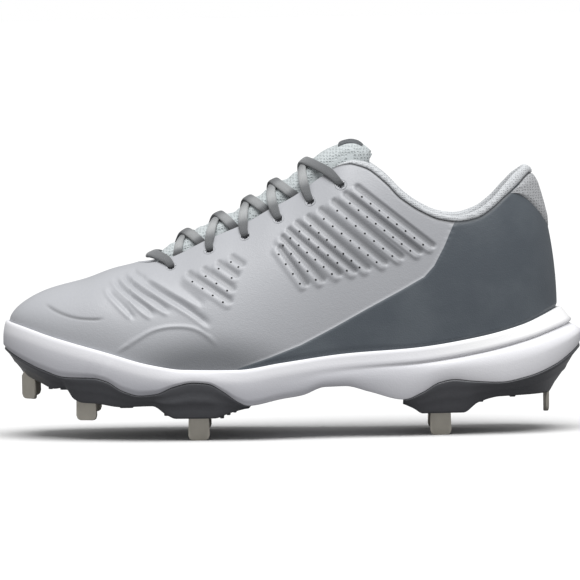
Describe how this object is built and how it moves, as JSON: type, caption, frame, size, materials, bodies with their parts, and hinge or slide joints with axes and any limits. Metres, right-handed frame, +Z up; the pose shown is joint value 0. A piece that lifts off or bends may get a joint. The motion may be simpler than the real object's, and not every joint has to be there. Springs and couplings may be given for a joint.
{
  "type": "baseball cleat",
  "caption": "Low-cut lace-up baseball cleat with a ribbed synthetic upper, a cupped foam midsole and steel blade spikes under two moulded plates.",
  "frame": {"origin": "on the floor, under the middle of the shoe's length and width", "axes": "toe towards -X, inner (medial) side towards +Y, +Z up; the four standing spikes rest on z = 0"},
  "size_m": [0.3002, 0.1044, 0.1505],
  "materials": {
    "light_grey_synthetic": "moulded synthetic leather, satin",
    "slate_film": "smooth dark grey film, satin",
    "heel_tab_knit": "padded knit",
    "tongue_mesh": "pale spacer mesh",
    "lace_cord": "woven flat lace",
    "sockliner_foam": "foam with a cloth top",
    "white_foam": "moulded foam, satin",
    "dark_plate": "moulded plastic, satin",
    "steel": "plain steel with a warm cast"
  },
  "bodies": {
    "root": {"upper": "light_grey_synthetic", "heel_counter": "slate_film", "heel_tab": "heel_tab_knit", "ribbed_quarter_lateral": "light_grey_synthetic", "ribbed_quarter_medial": "light_grey_synthetic", "tongue": "tongue_mesh", "laces": "lace_cord", "insole": "sockliner_foam", "midsole": "white_foam", "forefoot_plate": "dark_plate", "heel_plate": "dark_plate", "spike_toe_lateral": "steel", "spike_toe_medial": "steel", "spike_fore_lateral": "steel", "spike_fore_medial": "steel", "spike_ball_lateral": "steel", "spike_ball_medial": "steel", "spike_heel_lateral": "steel", "spike_heel_medial": "steel", "spike_heel_rear": "steel"}
  },
  "joints": []
}
